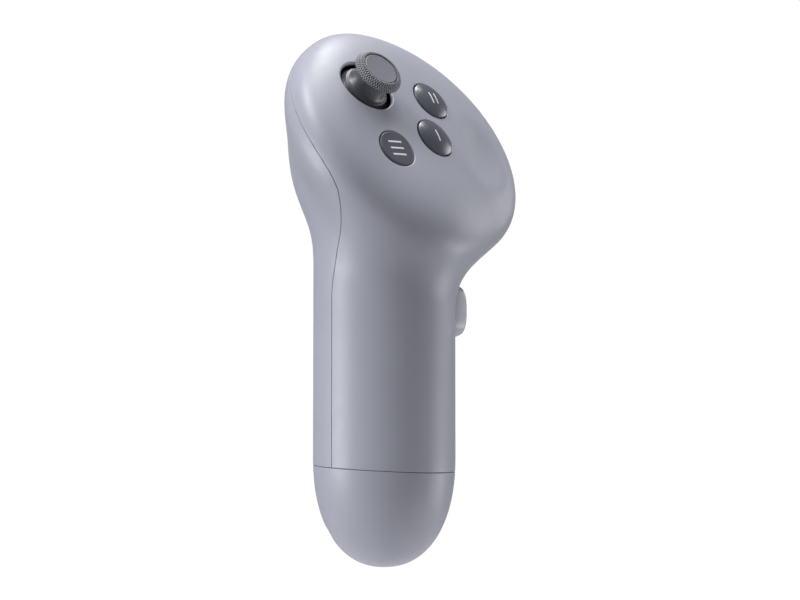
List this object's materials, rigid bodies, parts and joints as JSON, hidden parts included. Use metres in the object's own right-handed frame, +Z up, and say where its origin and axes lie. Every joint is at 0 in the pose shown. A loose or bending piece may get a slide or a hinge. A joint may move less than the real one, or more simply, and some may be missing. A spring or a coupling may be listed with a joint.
{
  "type": "vr motion controller",
  "caption": "Left-hand motion controller: round grip, broad tilted control face with thumbstick and buttons, rear trigger, side grip button, pull-off battery cap.",
  "frame": {"origin": "on the axis of the round handle, at the middle of the palm, 55 mm above the bottom tip", "axes": "+Z up along the handle axis, -Y towards the user (the way the control face looks), +X to the user's right"},
  "size_m": [0.0717, 0.0485, 0.1385],
  "materials": {
    "shell": "fine matte texture",
    "trigger": "fine matte texture",
    "grip_button": "satin",
    "stick_cap": "stippled rim",
    "stick_disc": "smooth matte",
    "stick_dome": "polished",
    "button": "polished",
    "menu_button": "satin",
    "mark": "printed",
    "dark_plastic": "moulded",
    "white_plastic": "moulded",
    "rubber": "silicone",
    "board": "solder mask",
    "flex": "film",
    "cell": "printed sleeve without text",
    "steel": "bright",
    "brass": "plated"
  },
  "bodies": {
    "handle": {"front_shell": "shell", "rear_shell": "shell", "chassis": "dark_plastic", "battery_spring": "steel", "contact_strip": "brass", "stick_housing": "steel", "stick_spring": "steel", "centring_plate": "white_plastic", "stick_switch": "dark_plastic", "upper_rubber_dome": "rubber", "lower_rubber_dome": "rubber", "menu_rubber_dome": "rubber", "main_board": "board", "board_chips": "dark_plastic", "board_screws": "steel", "touch_pad": "flex", "led_flex": "flex", "tracking_leds": "white_plastic", "haptic_motor": "steel", "flat_cable": "flex", "trigger_pin": "steel", "trigger_spring": "steel", "trigger_sensor": "dark_plastic", "grip_pin": "steel", "grip_spring": "steel", "grip_sensor": "dark_plastic"},
    "battery_cap": {"battery_cap": "shell", "cap_contact": "steel"},
    "cell": {"aa_cell": "cell"},
    "stick_ring": {"gimbal_ring": "dark_plastic"},
    "stick_cross": {"stick_core": "steel"},
    "stick_bail": {"gimbal_bail": "dark_plastic"},
    "stick": {"thumbstick_cap": "stick_cap", "thumbstick_disc": "stick_disc", "thumbstick_dome": "stick_dome", "stick_shaft": "steel"},
    "upper_button": {"upper_button": "button", "upper_button_mark": "mark"},
    "lower_button": {"lower_button": "button", "lower_button_mark": "mark"},
    "menu_button": {"menu_button": "menu_button", "menu_icon": "mark"},
    "trigger": {"trigger": "trigger", "trigger_magnet": "steel"},
    "grip_button": {"grip_button": "grip_button", "grip_magnet": "steel"}
  },
  "joints": [
    {"name": "stick_tilt_side", "type": "hinge", "parent": "handle", "child": "stick_ring", "pos_m": [-0.00765, 0.00342, 0.06312], "axis": [-0.0433, 0.5624, 0.8257], "range_deg": [-18, 18], "stiffness_Nm_per_rad": 0.02},
    {"name": "stick_tilt_fore", "type": "hinge", "parent": "stick_ring", "child": "stick_cross", "pos_m": [-0.00765, 0.00342, 0.06312], "axis": [0.999, 0.0159, 0.0416], "range_deg": [-18, 18], "stiffness_Nm_per_rad": 0.02},
    {"name": "stick_press", "type": "slide", "parent": "stick_cross", "child": "stick", "axis": [0.0103, 0.8267, -0.5625], "range_m": [0, 0.0005], "stiffness_N_per_m": 2000, "springref_m": -0.0004},
    {"name": "bail_follow", "type": "hinge", "parent": "handle", "child": "stick_bail", "pos_m": [-0.00765, 0.00342, 0.06312], "axis": [0.999, 0.0159, 0.0416], "range_deg": [-18, 18]},
    {"name": "upper_button_press", "type": "slide", "parent": "handle", "child": "upper_button", "axis": [-0.0861, 0.8382, -0.5385], "range_m": [0, 0.0008], "stiffness_N_per_m": 1200, "springref_m": -0.0005},
    {"name": "lower_button_press", "type": "slide", "parent": "handle", "child": "lower_button", "axis": [-0.0686, 0.8567, -0.5112], "range_m": [0, 0.0008], "stiffness_N_per_m": 1200, "springref_m": -0.0005},
    {"name": "menu_button_press", "type": "slide", "parent": "handle", "child": "menu_button", "axis": [-0.0011, 0.8776, -0.4793], "range_m": [0, 0.0004], "stiffness_N_per_m": 2000, "springref_m": -0.0005},
    {"name": "trigger_pull", "type": "hinge", "parent": "handle", "child": "trigger", "pos_m": [0, 0.015, 0.052], "axis": [-1, 0, 0], "range_deg": [0, 15], "stiffness_Nm_per_rad": 0.05, "springref_deg": -17.19},
    {"name": "grip_squeeze", "type": "hinge", "parent": "handle", "child": "grip_button", "pos_m": [0.01393, 0.00322, 0.0034], "axis": [0, 0, -1], "range_deg": [0, 8], "stiffness_Nm_per_rad": 0.1, "springref_deg": -11.46},
    {"name": "cap_pull", "type": "slide", "parent": "handle", "child": "battery_cap", "axis": [0, 0, -1], "range_m": [0, 0.07]},
    {"name": "cell_slide", "type": "slide", "parent": "handle", "child": "cell", "axis": [0, 0, -1], "range_m": [0, 0.045]}
  ],
  "couplings": [
    {"joint": "bail_follow", "follows": "stick_tilt_fore", "ratio": 1},
    {"joint": "cell_slide", "follows": "cap_pull", "ratio": 0.6}
  ]
}
